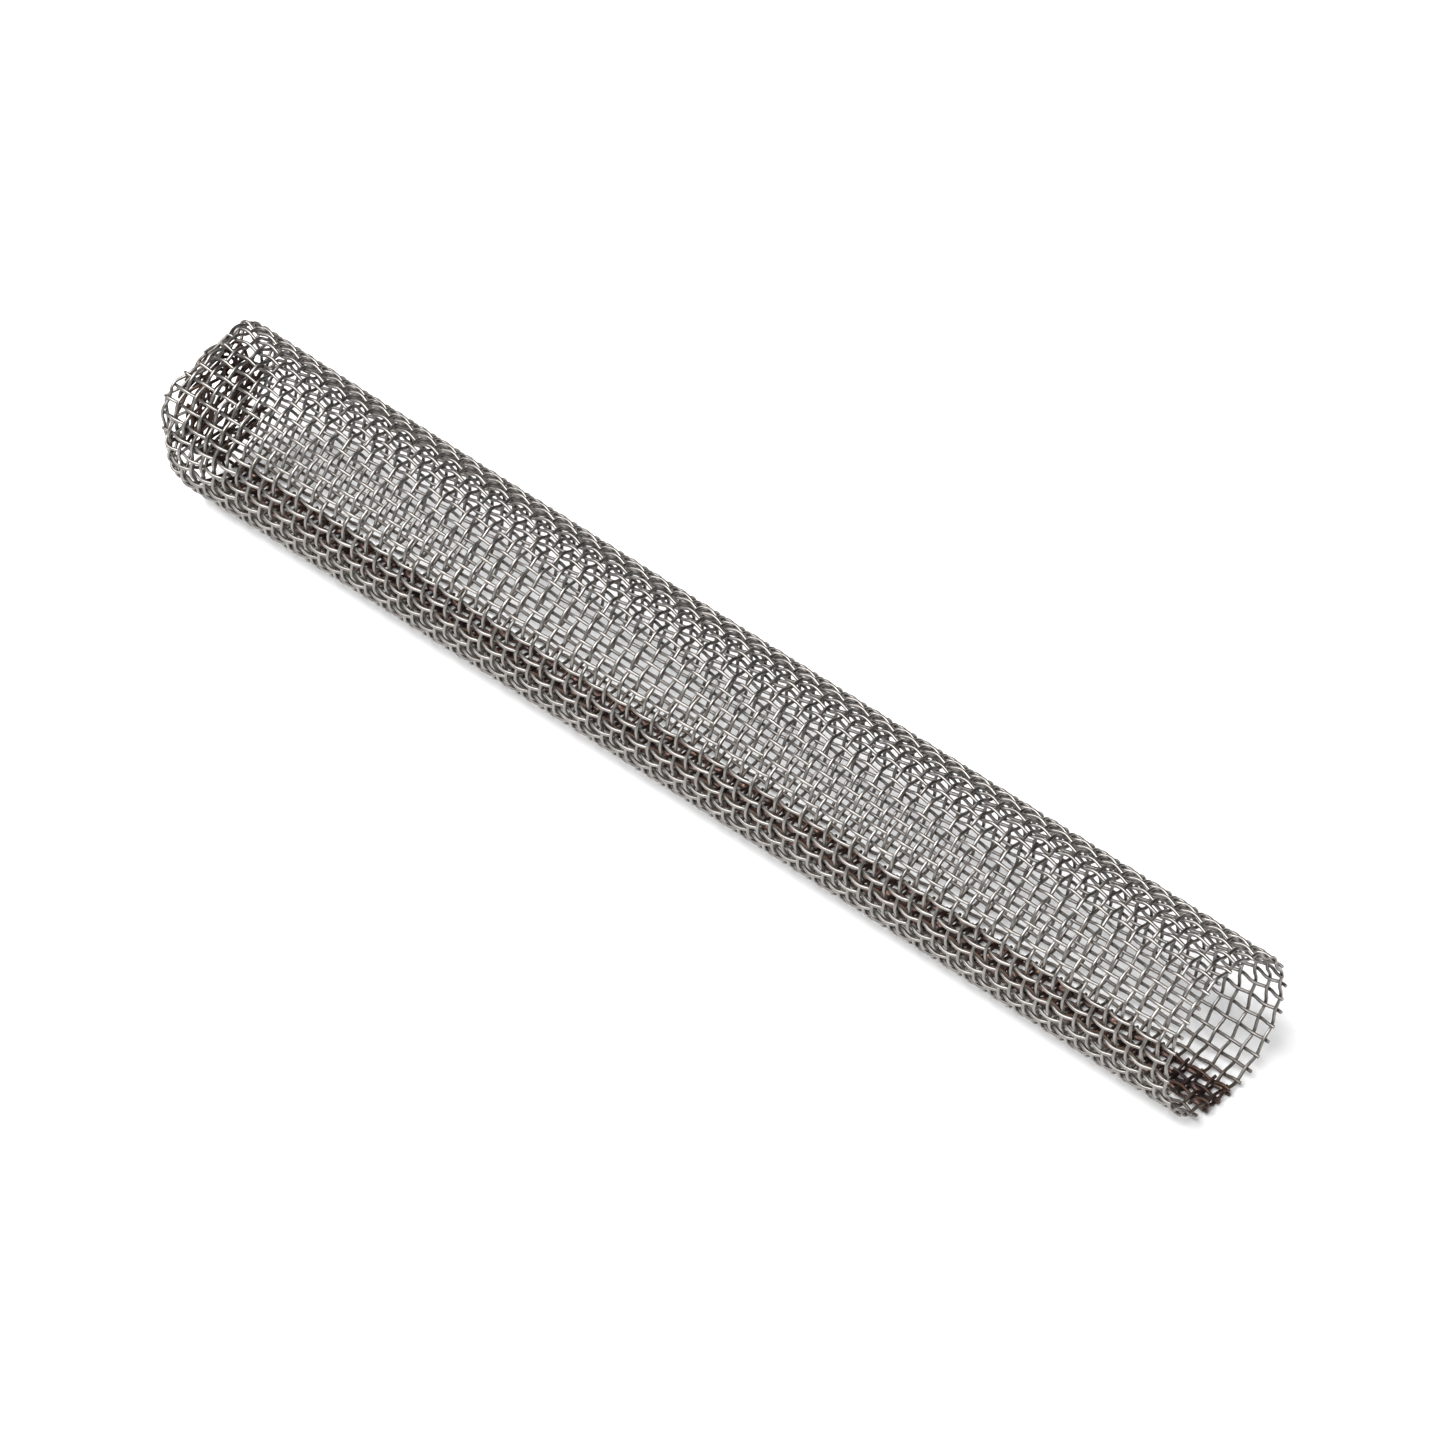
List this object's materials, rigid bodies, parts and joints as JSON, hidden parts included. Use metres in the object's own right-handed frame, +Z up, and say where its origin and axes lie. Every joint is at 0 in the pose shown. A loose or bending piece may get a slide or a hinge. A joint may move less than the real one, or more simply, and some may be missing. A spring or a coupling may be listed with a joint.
{
  "type": "woven wire finger strainer",
  "caption": "Slim tube of plain-woven steel wire cloth, lapped along its length, folded shut at one end and open at the other, for straining fuel.",
  "frame": {"origin": "on the supporting surface, under the middle of the tube as it lies on its side", "axes": "+X along the tube from the folded end to the open mouth, +Z up, away from the lapped seam that the tube rests on"},
  "size_m": [0.1336, 0.0174, 0.0175],
  "materials": {
    "warp_wire": "drawn stainless wire, satin, lightly soiled",
    "weft_wire": "drawn stainless wire, satin, lightly soiled",
    "spot_weld": "resistance-welded steel with brown heat tint"
  },
  "bodies": {
    "root": {"warp_wire_01": "warp_wire", "warp_wire_02": "warp_wire", "warp_wire_03": "warp_wire", "warp_wire_04": "warp_wire", "warp_wire_05": "warp_wire", "warp_wire_06": "warp_wire", "warp_wire_07": "warp_wire", "warp_wire_08": "warp_wire", "warp_wire_09": "warp_wire", "warp_wire_10": "warp_wire", "warp_wire_11": "warp_wire", "warp_wire_12": "warp_wire", "warp_wire_13": "warp_wire", "warp_wire_14": "warp_wire", "warp_wire_15": "warp_wire", "warp_wire_16": "warp_wire", "warp_wire_17": "warp_wire", "warp_wire_18": "warp_wire", "warp_wire_19": "warp_wire", "warp_wire_20": "warp_wire", "warp_wire_21": "warp_wire", "warp_wire_22": "warp_wire", "warp_wire_23": "warp_wire", "warp_wire_24": "warp_wire", "warp_wire_25": "warp_wire", "warp_wire_26": "warp_wire", "warp_wire_27": "warp_wire", "warp_wire_28": "warp_wire", "warp_wire_29": "warp_wire", "warp_wire_30": "warp_wire", "warp_wire_31": "warp_wire", "warp_wire_32": "warp_wire", "warp_wire_33": "warp_wire", "warp_wire_34": "warp_wire", "warp_wire_35": "warp_wire", "warp_wire_36": "warp_wire", "weft_wires_01": "weft_wire", "weft_wires_02": "weft_wire", "weft_wires_03": "weft_wire", "weft_wires_04": "weft_wire", "weft_wires_05": "weft_wire", "weft_wires_06": "weft_wire", "weft_wires_07": "weft_wire", "weft_wires_08": "weft_wire", "weft_wires_09": "weft_wire", "weft_wires_10": "weft_wire", "weft_wires_11": "weft_wire", "weft_wires_12": "weft_wire", "end_flap_lower_back_warp": "warp_wire", "end_flap_upper_back_warp": "warp_wire", "end_flap_upper_front_warp": "warp_wire", "end_flap_lower_front_warp": "warp_wire", "end_flap_lower_back_weft": "weft_wire", "end_flap_upper_back_weft": "weft_wire", "end_flap_upper_front_weft": "weft_wire", "end_flap_lower_front_weft": "weft_wire", "seam_weft_bends_in": "weft_wire", "seam_weft_bends_back": "weft_wire", "seam_weft_tails": "weft_wire", "seam_spot_welds": "spot_weld"}
  },
  "joints": []
}
